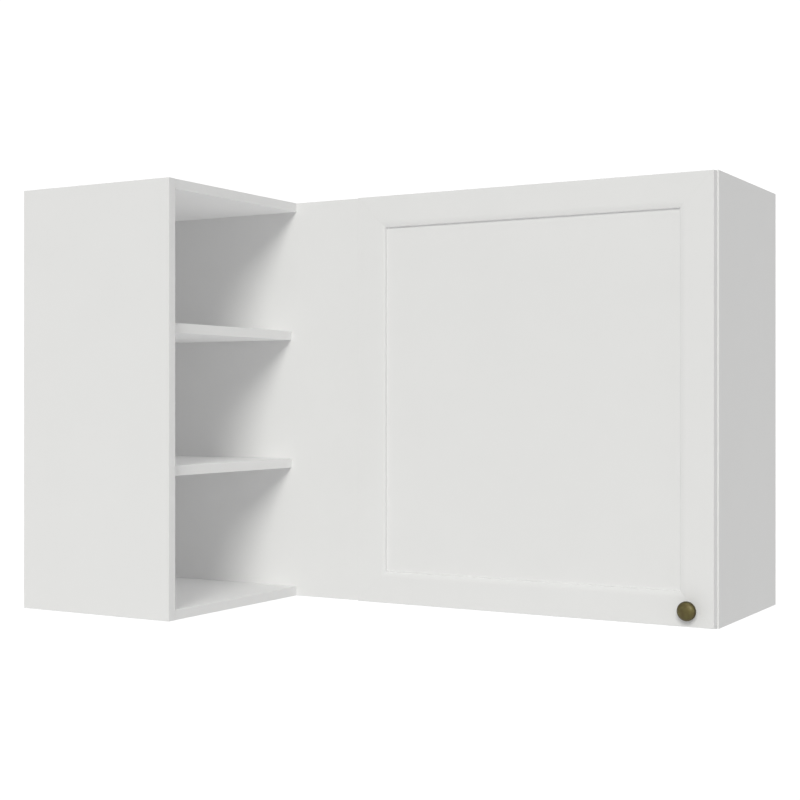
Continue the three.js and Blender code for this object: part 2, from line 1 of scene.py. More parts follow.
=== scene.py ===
# Corner wall cabinet: finishes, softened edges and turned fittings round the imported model.
import json
import math
import bmesh
import bpy
from mathutils import Matrix, Vector

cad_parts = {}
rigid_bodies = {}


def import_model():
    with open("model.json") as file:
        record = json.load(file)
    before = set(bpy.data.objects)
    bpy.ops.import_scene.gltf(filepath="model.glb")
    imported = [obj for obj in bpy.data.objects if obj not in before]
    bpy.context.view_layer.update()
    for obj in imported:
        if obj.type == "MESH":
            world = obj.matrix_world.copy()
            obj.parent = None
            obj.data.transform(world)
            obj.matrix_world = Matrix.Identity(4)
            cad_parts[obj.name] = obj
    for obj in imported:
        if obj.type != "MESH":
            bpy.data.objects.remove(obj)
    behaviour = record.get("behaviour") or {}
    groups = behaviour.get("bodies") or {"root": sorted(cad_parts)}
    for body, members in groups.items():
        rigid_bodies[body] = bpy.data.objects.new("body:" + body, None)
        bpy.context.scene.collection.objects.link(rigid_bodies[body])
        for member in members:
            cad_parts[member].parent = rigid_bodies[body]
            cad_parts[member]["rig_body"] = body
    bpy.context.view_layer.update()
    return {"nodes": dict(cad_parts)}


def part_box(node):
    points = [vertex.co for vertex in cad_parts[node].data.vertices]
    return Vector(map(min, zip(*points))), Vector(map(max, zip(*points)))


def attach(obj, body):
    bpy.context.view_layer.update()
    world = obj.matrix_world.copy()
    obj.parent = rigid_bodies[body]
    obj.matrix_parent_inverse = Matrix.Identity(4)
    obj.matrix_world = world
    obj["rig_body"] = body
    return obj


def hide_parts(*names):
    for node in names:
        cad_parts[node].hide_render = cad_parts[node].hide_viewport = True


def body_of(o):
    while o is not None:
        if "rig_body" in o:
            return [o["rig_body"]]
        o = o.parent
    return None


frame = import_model()
nodes = frame["nodes"]
mm = 0.001
levels = ("lower", "upper")   # of the hinges, and of the open unit's shelves


# shader helpers

def makeTree(name):
    material = bpy.data.materials.new(name)
    material.use_nodes = True
    tree = material.node_tree
    tree.nodes.clear()
    return material, tree


def addNode(tree, kind, settings=None, inputs=None):
    # an input is either a plain value or another node's output
    node = tree.nodes.new(kind)
    for key, value in (settings or {}).items():
        setattr(node, key, value)
    for key, value in (inputs or {}).items():
        if hasattr(value, "links"):
            tree.links.new(value, node.inputs[key])
        else:
            node.inputs[key].default_value = value
    return node


def makeGroup(name, sockets):
    group = bpy.data.node_groups.new(name, "ShaderNodeTree")
    for label, direction, kind, default in sockets:
        socket = group.interface.new_socket(name=label, in_out=direction, socket_type=kind)
        if default is not None:
            socket.default_value = default
    return group


def buildSurfaceGrain():
    # fine pebble and soft clouds: tone, roughness and height, from object coordinates
    group = makeGroup("surfaceGrain", [
        ("Vector", "INPUT", "NodeSocketVector", None),
        ("Color", "INPUT", "NodeSocketColor", (0.8, 0.8, 0.78, 1)),
        ("Pebble size", "INPUT", "NodeSocketFloat", 1.0 * mm),
        ("Mottle", "INPUT", "NodeSocketFloat", 0.02),
        ("Roughness", "INPUT", "NodeSocketFloat", 0.5),
        ("Roughness spread", "INPUT", "NodeSocketFloat", 0.06),
        ("Color", "OUTPUT", "NodeSocketColor", None),
        ("Roughness", "OUTPUT", "NodeSocketFloat", None),
        ("Height", "OUTPUT", "NodeSocketFloat", None),
    ])
    start = group.nodes.new("NodeGroupInput")
    end = group.nodes.new("NodeGroupOutput")
    frequency = addNode(group, "ShaderNodeMath", {"operation": "DIVIDE"},
                        {0: 1.0, 1: start.outputs["Pebble size"]})
    pebble = addNode(group, "ShaderNodeTexNoise", {"noise_dimensions": "3D"},
                     {"Vector": start.outputs["Vector"], "Scale": frequency.outputs[0],
                      "Detail": 2.0, "Roughness": 0.5})
    cloud = addNode(group, "ShaderNodeTexNoise", None,
                    {"Vector": start.outputs["Vector"], "Scale": 9.0, "Detail": 4.0, "Roughness": 0.6})
    darkest = addNode(group, "ShaderNodeMath", {"operation": "SUBTRACT"},
                      {0: 1.0, 1: start.outputs["Mottle"]})
    shade = addNode(group, "ShaderNodeMapRange", None,
                    {"Value": cloud.outputs["Fac"], "From Min": 0.3, "From Max": 0.7,
                     "To Min": darkest.outputs[0], "To Max": 1.0})
    toned = addNode(group, "ShaderNodeMix", {"data_type": "RGBA", "blend_type": "MULTIPLY"},
                    {"Factor": 1.0, 6: start.outputs["Color"], 7: shade.outputs["Result"]})
    spread = addNode(group, "ShaderNodeMath", {"operation": "MULTIPLY_ADD"},
                     {0: cloud.outputs["Fac"], 1: start.outputs["Roughness spread"],
                      2: start.outputs["Roughness"]})
    group.links.new(toned.outputs[2], end.inputs["Color"])
    group.links.new(spread.outputs[0], end.inputs["Roughness"])
    group.links.new(pebble.outputs["Fac"], end.inputs["Height"])
    return group


def buildBrushing():
    # fine directional scratches and faint stains for plated steel and turned brass
    group = makeGroup("brushing", [
        ("Vector", "INPUT", "NodeSocketVector", None),
        ("Stretch", "INPUT", "NodeSocketVector", (1, 1, 1)),
        ("Roughness", "INPUT", "NodeSocketFloat", 0.3),
        ("Roughness spread", "INPUT", "NodeSocketFloat", 0.15),
        ("Roughness", "OUTPUT", "NodeSocketFloat", None),
        ("Stain", "OUTPUT", "NodeSocketFloat", None),
        ("Height", "OUTPUT", "NodeSocketFloat", None),
    ])
    start = group.nodes.new("NodeGroupInput")
    end = group.nodes.new("NodeGroupOutput")
    stretched = addNode(group, "ShaderNodeVectorMath", {"operation": "MULTIPLY"},
                        {0: start.outputs["Vector"], 1: start.outputs["Stretch"]})
    scratch = addNode(group, "ShaderNodeTexNoise", None,
                      {"Vector": stretched.outputs[0], "Scale": 900.0, "Detail": 3.0})
    stain = addNode(group, "ShaderNodeTexNoise", None,
                    {"Vector": start.outputs["Vector"], "Scale": 140.0, "Detail": 5.0, "Roughness": 0.62})
    spread = addNode(group, "ShaderNodeMath", {"operation": "MULTIPLY_ADD"},
                     {0: scratch.outputs["Fac"], 1: start.outputs["Roughness spread"],
                      2: start.outputs["Roughness"]})
    group.links.new(spread.outputs[0], end.inputs["Roughness"])
    group.links.new(stain.outputs["Fac"], end.inputs["Stain"])
    group.links.new(scratch.outputs["Fac"], end.inputs["Height"])
    return group


grainGroup = buildSurfaceGrain()
brushGroup = buildBrushing()


def placeGroup(tree, group, inputs):
    return addNode(tree, "ShaderNodeGroup", {"node_tree": group}, inputs)


def objectCoords(tree):
    return addNode(tree, "ShaderNodeTexCoord").outputs["Object"]


def makeRamp(tree, factor, stops):
    # each of the two stops is a position and a colour
    ramp = addNode(tree, "ShaderNodeValToRGB", None, {"Fac": factor})
    for element, (position, color) in zip(ramp.color_ramp.elements, stops):
        element.position = position
        element.color = color
    return ramp.outputs["Color"]


def closeSurface(tree, shader, height=None, strength=0.1, distance=0.2 * mm):
    output = addNode(tree, "ShaderNodeOutputMaterial")
    tree.links.new(shader.outputs[0], output.inputs["Surface"])
    if height is not None:
        bump = addNode(tree, "ShaderNodeBump", None,
                       {"Strength": strength, "Distance": distance, "Height": height})
        tree.links.new(bump.outputs[0], shader.inputs["Normal"])


# finishes

boardFinish = {"color": (0.810, 0.810, 0.810, 1), "pebble": 1.1 * mm, "roughness": 0.52, "bump": 0.10}
edgeFinish = {"color": (0.835, 0.835, 0.835, 1), "pebble": 0.8 * mm, "roughness": 0.50, "bump": 0.06}
doorFinish = {"color": (0.805, 0.805, 0.805, 1), "pebble": 3.0 * mm, "roughness": 0.40, "bump": 0.05}
whites = {"mottle": 0.012, "roughnessSpread": 0.08, "specular": 0.08}      # alike on all the whites


def whiteFinish(name, finish):
    material, tree = makeTree(name)
    grain = placeGroup(tree, grainGroup, {
        "Vector": objectCoords(tree), "Color": finish["color"], "Pebble size": finish["pebble"],
        "Mottle": whites["mottle"], "Roughness": finish["roughness"],
        "Roughness spread": whites["roughnessSpread"],
    })
    shader = addNode(tree, "ShaderNodeBsdfPrincipled", None, {
        "Base Color": grain.outputs["Color"], "Roughness": grain.outputs["Roughness"],
        "Specular IOR Level": whites["specular"],
    })
    closeSurface(tree, shader, grain.outputs["Height"], finish["bump"])
    return material


def rawBoard():
    # sawn chipboard: pale flakes of several tones pressed together
    material, tree = makeTree("rawBoard")
    coords = objectCoords(tree)
    stretched = addNode(tree, "ShaderNodeMapping", None, {"Vector": coords, "Scale": (1, 1, 2.2)})
    flakes = addNode(tree, "ShaderNodeTexVoronoi", {"feature": "F1"},
                     {"Vector": stretched.outputs[0], "Scale": 420.0, "Randomness": 1.0})
    fibre = addNode(tree, "ShaderNodeTexNoise", None,
                    {"Vector": stretched.outputs[0], "Scale": 1400.0, "Detail": 4.0})
    mixed = addNode(tree, "ShaderNodeMix", {"data_type": "FLOAT"},
                    {"Factor": 0.4, 2: flakes.outputs["Color"], 3: fibre.outputs["Fac"]})
    tone = makeRamp(tree, mixed.outputs[0], ((0.0, (0.30, 0.20, 0.11, 1)), (1.0, (0.66, 0.51, 0.33, 1))))
    shader = addNode(tree, "ShaderNodeBsdfPrincipled", None, {"Base Color": tone, "Roughness": 0.85})
    closeSurface(tree, shader, mixed.outputs[0], strength=0.5, distance=0.4 * mm)
    return material


def hardboard():
    # brown back of the thin sheet: pressed fibre with the print of the press screen
    material, tree = makeTree("hardboardBack")
    coords = objectCoords(tree)
    fibre = addNode(tree, "ShaderNodeTexNoise", None,
                    {"Vector": coords, "Scale": 520.0, "Detail": 6.0, "Roughness": 0.7})
    blotch = addNode(tree, "ShaderNodeTexNoise", None, {"Vector": coords, "Scale": 6.0, "Detail": 5.0})
    both = addNode(tree, "ShaderNodeMix", {"data_type": "FLOAT"},
                   {"Factor": 0.3, 2: fibre.outputs["Fac"], 3: blotch.outputs["Fac"]})
    tone = makeRamp(tree, both.outputs[0],
                    ((0.3, (0.27, 0.165, 0.088, 1)), (0.72, (0.39, 0.255, 0.145, 1))))
    wires = [addNode(tree, "ShaderNodeTexWave", {"bands_direction": direction},
                     {"Vector": coords, "Scale": 130.0, "Distortion": 0.6, "Detail": 1.0})
             for direction in "XZ"]
    screen = addNode(tree, "ShaderNodeMath", {"operation": "MULTIPLY"},
                     {0: wires[0].outputs["Fac"], 1: wires[1].outputs["Fac"]})
    shader = addNode(tree, "ShaderNodeBsdfPrincipled", None, {"Base Color": tone, "Roughness": 0.8})
    closeSurface(tree, shader, screen.outputs[0], strength=0.35, distance=0.3 * mm)
    return material


plateStain = (0.82, 0.82, 0.80, 1)        # the stains' colour as shares of the plate's


def plated(name, color, roughness, stretch):
    material, tree = makeTree(name)
    brush = placeGroup(tree, brushGroup, {
        "Vector": objectCoords(tree), "Stretch": stretch, "Roughness": roughness,
        "Roughness spread": 0.18,
    })
    stained = [channel * share for channel, share in zip(color, plateStain)]
    tone = makeRamp(tree, brush.outputs["Stain"], ((0.3, stained), (0.6, color)))
    shader = addNode(tree, "ShaderNodeBsdfPrincipled", None, {
        "Base Color": tone, "Metallic": 1.0, "Roughness": brush.outputs["Roughness"],
    })
    closeSurface(tree, shader, brush.outputs["Height"], strength=0.15, distance=0.05 * mm)
    return material


def plainFinish(name, color, roughness, pebble, bump):
    material, tree = makeTree(name)
    grain = placeGroup(tree, grainGroup, {
        "Vector": objectCoords(tree), "Color": color, "Pebble size": pebble,
        "Mottle": 0.15, "Roughness": roughness, "Roughness spread": 0.1,
    })
    shader = addNode(tree, "ShaderNodeBsdfPrincipled", None, {
        "Base Color": grain.outputs["Color"], "Roughness": grain.outputs["Roughness"],
    })
    closeSurface(tree, shader, grain.outputs["Height"], bump)
    return material


# rim, rimFrom and rimTo: a darker ring by radius, patina in the groove and painted shade on the rounded
# rim
brassFinish = {"olive": (0.098, 0.083, 0.023, 1), "brown": (0.080, 0.059, 0.016, 1),
               "rim": (0.060, 0.047, 0.017, 1), "rimFrom": 13.8 * mm, "rimTo": 14.3 * mm,
               "metallic": 0.80, "roughness": 0.44, "roughnessSpread": 0.20,
               "haze": 0.30, "hazeRoughness": 0.36}


def oldBrass():
    # turned brass gone olive and brown with age; from the groove outwards a darker ring: patina in the
    # groove, painted shade on the rounded rim
    material, tree = makeTree("oldBrass")
    coords = objectCoords(tree)
    brush = placeGroup(tree, brushGroup, {
        "Vector": coords, "Stretch": (1, 1, 1), "Roughness": brassFinish["roughness"],
        "Roughness spread": brassFinish["roughnessSpread"],
    })
    tone = makeRamp(tree, brush.outputs["Stain"],
                    ((0.36, brassFinish["brown"]), (0.62, brassFinish["olive"])))
    low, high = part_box("knob")
    centred = addNode(tree, "ShaderNodeVectorMath", {"operation": "SUBTRACT"},
                      {0: coords, 1: ((low.x + high.x) / 2, 0, (low.z + high.z) / 2)})
    flat = addNode(tree, "ShaderNodeVectorMath", {"operation": "MULTIPLY"},
                   {0: centred.outputs[0], 1: (1, 0, 1)})
    radius = addNode(tree, "ShaderNodeVectorMath", {"operation": "LENGTH"}, {0: flat.outputs[0]})
    # painted shade: the ring from the groove out over the rounded rim is darkened by radius, with patina
    # in the groove itself
    rim = addNode(tree, "ShaderNodeMapRange", {"interpolation_type": "SMOOTHSTEP"},
                  {"Value": radius.outputs["Value"], "From Min": brassFinish["rimFrom"],
                   "From Max": brassFinish["rimTo"]})
    # the aged tone with the painted rim shade mixed in
    agedWithRimShade = addNode(tree, "ShaderNodeMix", {"data_type": "RGBA"},
                   {"Factor": rim.outputs["Result"], 6: tone, 7: brassFinish["rim"]})
    shader = addNode(tree, "ShaderNodeBsdfPrincipled", None, {
        "Base Color": agedWithRimShade.outputs[2], "Metallic": brassFinish["metallic"],
        "Roughness": brush.outputs["Roughness"], "Coat Weight": brassFinish["haze"],
        "Coat Roughness": brassFinish["hazeRoughness"],
    })
    closeSurface(tree, shader, brush.outputs["Height"], strength=0.2, distance=0.06 * mm)
    return material


materials = {
    "board": whiteFinish("whiteMelamine", boardFinish),
    "edge": whiteFinish("whiteEdgeBand", edgeFinish),
    "door": whiteFinish("whiteSatinLacquer", doorFinish),
    "raw": rawBoard(),
    "hardboard": hardboard(),
    "nickel": plated("nickelPlate", (0.66, 0.65, 0.62, 1), roughness=0.22, stretch=(1, 1, 0.08)),
    "zinc": plated("zincPlate", (0.60, 0.61, 0.60, 1), roughness=0.32, stretch=(1, 1, 1)),
    "oldBrass": oldBrass(),
    "dowel": plainFinish("beechDowel", (0.55, 0.37, 0.2, 1), roughness=0.65, pebble=0.6 * mm, bump=0.3),
    "rubber": plainFinish("clearRubber", (0.66, 0.67, 0.65, 1), roughness=0.25, pebble=2.0 * mm, bump=0.1),
}
print("finishes made")


# modelling helpers

weldDistance = 0.001 * mm
flushDistance = 0.01 * mm                 # nearer than this to a side counts as lying on it
flatAngle = math.radians(0.5)             # faces that meet flatter than this are one face
facetAngle = math.radians(1), math.radians(32)      # between the facets of a round wall
creaseAngle = math.radians(38)            # sharper edges of turned parts stay hard
sharpAngle = math.radians(40)             # sharper edges are softened
facing = 0.9                              # cosine from which a face looks along an axis
straight = 0.999                          # and from which an edge runs along it


def isCurved(edge):
    return len(edge.link_faces) == 2 and facetAngle[0] < edge.calc_face_angle() < facetAngle[1]


def nodeMesh(node, roundWalls=False):
    # a node's solid with its loose triangles welded and flat areas joined to whole faces
    bm = bmesh.new()
    bm.from_mesh(nodes[node].data)
    bmesh.ops.remove_doubles(bm, verts=bm.verts[:], dist=weldDistance)
    bmesh.ops.dissolve_limit(bm, angle_limit=flatAngle, verts=bm.verts[:], edges=bm.edges[:])
    bm.normal_update()
    for face in bm.faces:
        face.smooth = roundWalls and any(isCurved(edge) for edge in face.edges)
    return bm


def sharpEdges(bm):
    return [edge for edge in bm.edges if edge.is_convex and edge.calc_face_angle(0) > sharpAngle]


def keepCreases(bm):
    for edge in bm.edges:
        edge.smooth = edge.calc_face_angle(0) < creaseAngle


def edgesOnBox(bm, box):
    # the outer corners of a board, without its holes, grooves and rebates
    found = []
    for edge in bm.edges:
        flush = 0
        for axis in range(3):
            ends = [vert.co[axis] for vert in edge.verts]
            for side in box:
                flush += all(abs(end - side[axis]) < flushDistance for end in ends)
        if flush >= 2:
            found.append(edge)
    return found


def soften(bm, edges, radius, segments=2):
    rounded = bmesh.ops.bevel(bm, geom=edges, offset=radius, offset_type="OFFSET", segments=segments,
                              profile=0.5, affect="EDGES", clamp_overlap=True, material=-1)
    for face in rounded["faces"]:
        face.smooth = True


def meshObject(bm, name):
    mesh = bpy.data.meshes.new(name)
    bm.to_mesh(mesh)
    bm.free()
    made = bpy.data.objects.new(name, mesh)
    bpy.context.scene.collection.objects.link(made)
    return made


def finishPiece(bm, name, node, finishes, body=None):
    # a finished piece stands in its node's place, or is a new one on the body given
    piece = meshObject(bm, name)
    for finish in finishes:
        piece.data.materials.append(materials[finish])
    if node:
        body = body_of(nodes[node])[0]
        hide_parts(node)
    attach(piece, body)


# boards: face, banded edges, and sawn board where no band is glued on

boards = {
    "edgeRadius": 0.5 * mm,
    "thickness": {            # the axis that each board is thin along
        "right_side_panel": 0, "corner_side_panel": 0, "hinge_post": 0,
        "blind_panel": 1, "hanging_rail": 1, "niche_end_panel": 1,
        "main_top_panel": 2, "main_bottom_panel": 2, "main_shelf_lower": 2, "main_shelf_upper": 2,
        "niche_top_board": 2, "niche_bottom_board": 2, "niche_shelf_lower": 2, "niche_shelf_upper": 2,
    },
    "sawn": {                 # the side of each board that is left without a band
        "niche_end_panel": (-1, 0, 0), "niche_top_board": (-1, 0, 0), "niche_bottom_board": (-1, 0, 0),
        "niche_shelf_lower": (-1, 0, 0), "niche_shelf_upper": (-1, 0, 0),
    },
}
backSide = (0, 1, 0)
boardFinishes = ("board", "edge", "raw")


def onOuterSide(face, box):
    centre = face.calc_center_median()
    return any(abs(centre[axis] - side[axis]) < boards["edgeRadius"] for axis in range(3) for side in box)


def makeBoard(node, thinAxis, sawnSide):
    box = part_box(node)
    bm = nodeMesh(node)
    soften(bm, edgesOnBox(bm, box), boards["edgeRadius"])
    for face in bm.faces:
        if abs(face.normal[thinAxis]) > facing:
            finish = "board"
        elif face.normal.dot(Vector(sawnSide)) > facing or not onOuterSide(face, box):
            finish = "raw"
        else:
            finish = "edge"
        face.material_index = boardFinishes.index(finish)
    finishPiece(bm, f"{node}_faced_board", node, boardFinishes)


for node, thinAxis in boards["thickness"].items():
    makeBoard(node, thinAxis, boards["sawn"].get(node, backSide))
print("boards faced and banded:", len(boards["thickness"]))


# back sheets: painted inside, bare hardboard towards the wall

backSheets = {"edge": (0.25 * mm, 1), "finishes": ("board", "hardboard"),
              "wallSides": {"main_back_sheet": (0, 1, 0), "niche_back_sheet": (-1, 0, 0)}}


def makeBackSheet(node, wallSide):
    bm = nodeMesh(node)
    soften(bm, edgesOnBox(bm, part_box(node)), *backSheets["edge"])
    for face in bm.faces:
        finish = "board" if face.normal.dot(Vector(wallSide)) < -facing else "hardboard"
        face.material_index = backSheets["finishes"].index(finish)
    finishPiece(bm, f"{node}_hardboard", node, backSheets["finishes"])


for node, wallSide in backSheets["wallSides"].items():
    makeBackSheet(node, wallSide)
print("back sheets made")


# door: four mitred members round a panel, all sprayed in one satin lacquer

door = {                      # each rounding is a radius and its number of segments
    "edge": (0.7 * mm, 3), "crest": (3.0 * mm, 5), "lip": (0.5 * mm, 3), "panel": (0.4 * mm, 2),
    "crestAngle": math.radians(30), "shortestRun": 300.0 * mm,
    "frontDepth": 0.1 * mm, "lipDepth": 3.0 * mm,      # how far behind the front each kind of edge lies
}
doorMembers = {               # the axis that each member runs along
    "door_rail_top": 0, "door_rail_bottom": 0, "door_stile_hinge_side": 2, "door_stile_knob_side": 2,
}


def isAlong(edge, axis):
    run = edge.verts[1].co - edge.verts[0].co
    return abs(run[axis]) > straight * run.length and run.length > door["shortestRun"]


def makeDoorMember(node, alongAxis):
    # only edges that run along a member are rounded, so the mitres stay closed
    bm = nodeMesh(node)
    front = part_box(node)[0].y
    along = [edge for edge in bm.edges if isAlong(edge, alongAxis) and edge.is_convex]
    onFront = [edge for edge in along if edge.verts[0].co.y < front + door["frontDepth"]]
    crest = [edge for edge in onFront if edge.calc_face_angle(0) < door["crestAngle"]]
    lip = [edge for edge in along
           if front + door["frontDepth"] < edge.verts[0].co.y < front + door["lipDepth"]]
    outer = set(edgesOnBox(bm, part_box(node)))
    soften(bm, [edge for edge in along if edge in outer], *door["edge"])
    soften(bm, [edge for edge in crest if edge.is_valid], *door["crest"])
    soften(bm, [edge for edge in lip if edge.is_valid], *door["lip"])
    finishPiece(bm, f"{node}_lacquered", node, ("door",))


for node, alongAxis in doorMembers.items():
    makeDoorMember(node, alongAxis)
panelMesh = nodeMesh("door_panel")
soften(panelMesh, sharpEdges(panelMesh), *door["panel"])
finishPiece(panelMesh, "door_panel_lacquered", "door_panel", ("door",))
print("door frame and panel made")


# turned parts

def turnedMesh(profile, steps):
    # a half section of (radius, height) turned round +Z
    bm = bmesh.new()
    verts = [bm.verts.new((radius, 0, height)) for radius, height in profile]
    edges = [bm.edges.new(pair) for pair in zip(verts, verts[1:])]
    bmesh.ops.spin(bm, geom=verts + edges, cent=(0, 0, 0), axis=(0, 0, 1), angle=math.tau,
                   steps=steps, use_merge=True)
    bmesh.ops.remove_doubles(bm, verts=bm.verts[:], dist=weldDistance)
    bmesh.ops.recalc_face_normals(bm, faces=bm.faces[:])
    for face in bm.faces:
        face.smooth = True
    keepCreases(bm)
    return bm


def placed(bm, turn, place):
    bmesh.ops.transform(bm, matrix=Matrix.Translation(place) @ turn, verts=bm.verts[:])


def arc(centreRadius, centreHeight, radius, start, end, steps):
    # points of part of a circle in a half section, from one angle in degrees to another
    angles = [math.radians(start + (end - start) * i / steps) for i in range(steps + 1)]
    return [(centreRadius + radius * math.cos(a), centreHeight + radius * math.sin(a)) for a in angles]


def cap(radius, base, rise, steps):
    # the points of a dome after its foot, up to the middle
    points = []
    for i in range(1, steps + 1):
        angle = math.pi / 2 * i / steps
        points.append((radius * math.cos(angle) if i < steps else 0, base + rise * math.sin(angle)))
    return points


towardsFront = Matrix.Rotation(math.pi / 2, 4, "X")      # +Z becomes -Y
towardsWall = Matrix.Rotation(-math.pi / 2, 4, "X")      # +Z becomes +Y
towardsRight = Matrix.Rotation(math.pi / 2, 4, "Y")      # +Z becomes +X
towardsLeft = Matrix.Rotation(-math.pi / 2, 4, "Y")      # +Z becomes -X

knob = {                      # heights are taken from the door's front
    "boreRadius": 2.3 * mm, "boreDepth": 12.8 * mm, "gap": 0.2 * mm,
    "footRadius": 9.0 * mm, "footHeight": 1.4 * mm, "footRound": 0.7 * mm, "hollowInset": 0.9 * mm,
    "waistRadius": 5.4 * mm, "waistHeight": 6.4 * mm, "flareRadius": 7.2 * mm, "flareRise": 2.2 * mm,
    "headBack": 14.6 * mm, "dish": 0.2 * mm, "backInset": 1.6 * mm, "backRise": 0.4 * mm,
    "rimFront": 18.5 * mm, "rimRadius": 15.0 * mm, "rimRound": 0.6 * mm,
    "grooveDepth": 0.25 * mm, "grooveWidth": 0.35 * mm, "grooveRise": 0.15 * mm,
    "domeRadius": 14.0 * mm, "domeSteps": 16, "steps": 72,
    # first and last angle of each arc and its steps
    "footArc": (0, 90, 4), "hollowArc": (270, 218, 5), "flareArc": (180, 118, 7),
    "rimBackArc": (-60, 0, 3), "rimFrontArc": (0, 110, 5),
}


def knobProfile(height):
    # bored foot, slender waist, dished underside, rounded rim, groove and dome
    size = knob
    foot, footRound = size["footRadius"], size["footRound"]
    waistHeight = size["waistHeight"]
    hollow = waistHeight - size["footHeight"] - footRound
    flare = size["flareRadius"]
    rimRound = size["rimRound"]
    rimCentre = size["rimRadius"] - rimRound
    back, front = size["headBack"], size["rimFront"]
    dome = size["domeRadius"]
    grooveFloor = front - size["grooveDepth"]
    profile = [(0, size["boreDepth"]), (size["boreRadius"], size["boreDepth"])]
    profile += [(size["boreRadius"], size["gap"]), (foot, size["gap"])]
    profile += arc(foot - footRound, size["footHeight"], footRound, *size["footArc"])
    profile += arc(foot - size["hollowInset"], waistHeight, hollow, *size["hollowArc"])
    profile += arc(size["waistRadius"] + flare, waistHeight + size["flareRise"], flare,
                   *size["flareArc"])
    profile += [(size["rimRadius"] - size["backInset"], back + size["dish"])]
    profile += arc(rimCentre, back + rimRound + size["backRise"], rimRound, *size["rimBackArc"])
    profile += arc(rimCentre, front - rimRound, rimRound, *size["rimFrontArc"])
    profile += [(dome + size["grooveWidth"], grooveFloor + size["grooveRise"]), (dome, grooveFloor)]
    return profile + cap(dome, grooveFloor, height - grooveFloor, size["domeSteps"])


def makeKnob():
    low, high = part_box("knob")
    centreX = (low.x + high.x) / 2
    centreZ = (low.z + high.z) / 2
    doorFront = high.y + knob["gap"]
    bm = turnedMesh(knobProfile(doorFront - low.y), knob["steps"])
    placed(bm, towardsFront, (centreX, doorFront, centreZ))
    finishPiece(bm, "knob_turned", "knob", ("oldBrass",))


makeKnob()
print("knob turned")


# screws: domed heads with a tapered cross recess and a ringed thread

def onLevels(stem, ends):
    return [f"{stem}_{level}_{end}" for level in levels for end in ends]


screws = {
    "knob": {"head": 4.2 * mm, "rise": 2.2 * mm, "shank": 2.0 * mm, "length": 27.0 * mm,
             "turn": towardsWall, "nodes": ["knob_screw"]},
    "cup": {"head": 3.4 * mm, "rise": 1.3 * mm, "shank": 1.75 * mm, "length": 10.0 * mm,
            "turn": towardsWall, "nodes": onLevels("cup_screw", "ab")},
    "plate": {"head": 4.0 * mm, "rise": 2.0 * mm, "shank": 2.5 * mm, "length": 13.0 * mm,
              "turn": towardsRight, "nodes": onLevels("plate_screw", "ab")},
    "shelf": {"head": 4.5 * mm, "rise": 2.4 * mm, "shank": 2.0 * mm, "length": 50.0 * mm,
              "turn": towardsWall, "nodes": onLevels("niche_screw", ("front", "back"))},
}
screwForm = {
    "root": 0.74, "point": 2.2, "threadStart": 0.6,      # shares of the shank's radius
    "pitch": 1.6 * mm, "flank": (0.5, 0.75),             # and shares of the pitch
    "dome": (0.3, 0.55, 0.75, 0.9), "drop": 0.62, "roundness": 2.4,       # how the head falls off
    "brim": 0.3, "brimRadius": 0.25 * mm, "brimArc": (30, -20, 2), "seatInset": 0.15 * mm,
    "firstTurn": 0.4, "nextTurn": 1.1, "steps": 28,      # each cross stops at its own angle
}
recess = {                    # shares of the head's radius and rise
    "reach": 0.58, "width": 0.17, "above": 0.2, "depth": 0.87, "taper": 0.55,
}


def screwSection(size):
    form = screwForm
    head, rise, shank = size["head"], size["rise"], size["shank"]
    root = shank * form["root"]
    pitch = form["pitch"]
    valley, crest = form["flank"]
    point = size["length"] - form["point"] * shank
    profile = [(0, rise)]
    profile += [(head * share, rise * (1 - form["drop"] * share ** form["roundness"]))
                for share in form["dome"]]
    profile += arc(head - form["brimRadius"], rise * form["brim"], form["brimRadius"], *form["brimArc"])
    profile += [(head - form["seatInset"], 0), (shank, 0)]
    depth = shank * form["threadStart"]
    while depth + pitch < point:
        profile += [(root, -depth), (root, -depth - valley * pitch), (shank, -depth - crest * pitch)]
        depth += pitch
    return profile + [(root, -point), (0, -size["length"])]


def crossCutter(size):
    # a plus sign pushed down into the head and drawn in towards its foot
    long = size["head"] * recess["reach"]
    short = size["head"] * recess["width"]
    bm = bmesh.new()
    corner = [(long, short), (short, short), (short, long)]
    points = []
    for quarter in range(4):
        turn = Matrix.Rotation(quarter * math.pi / 2, 3, "Z")
        points += [turn @ Vector((x, y, 0)) for x, y in corner]
    top = size["rise"] * (1 + recess["above"])
    verts = [bm.verts.new((point.x, point.y, top)) for point in points]
    face = bm.faces.new(verts)
    deep = bmesh.ops.extrude_face_region(bm, geom=[face])
    lower = [part for part in deep["geom"] if isinstance(part, bmesh.types.BMVert)]
    bmesh.ops.translate(bm, vec=(0, 0, -size["rise"] * (recess["above"] + recess["depth"])), verts=lower)
    bmesh.ops.scale(bm, vec=(recess["taper"], recess["taper"], 1), verts=lower)
    bmesh.ops.recalc_face_normals(bm, faces=bm.faces[:])
    return bm


def screwMesh(size):
    # the head with its recess cut out, as one mesh at the origin
    body = meshObject(turnedMesh(screwSection(size), screwForm["steps"]), "screwBody")
    cutter = meshObject(crossCutter(size), "screwCutter")
    carve = body.modifiers.new("recess", "BOOLEAN")
    carve.operation = "DIFFERENCE"
    carve.solver = "EXACT"
    carve.object = cutter
    bpy.context.view_layer.update()
    evaluated = body.evaluated_get(bpy.context.evaluated_depsgraph_get())
    bm = bmesh.new()
    bm.from_mesh(evaluated.to_mesh())
    evaluated.to_mesh_clear()
    for used in (body, cutter):
        bpy.data.objects.remove(used, do_unlink=True)
    keepCreases(bm)
    return bm


def screwSeat(node, size):
    # the middle of the plane under the head, from the node's box
    low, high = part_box(node)
    middle = (low + high) / 2
    if size["turn"] is towardsRight:
        return Vector((high.x - size["rise"], middle.y, middle.z))
    return Vector((middle.x, high.y - size["rise"], middle.z))


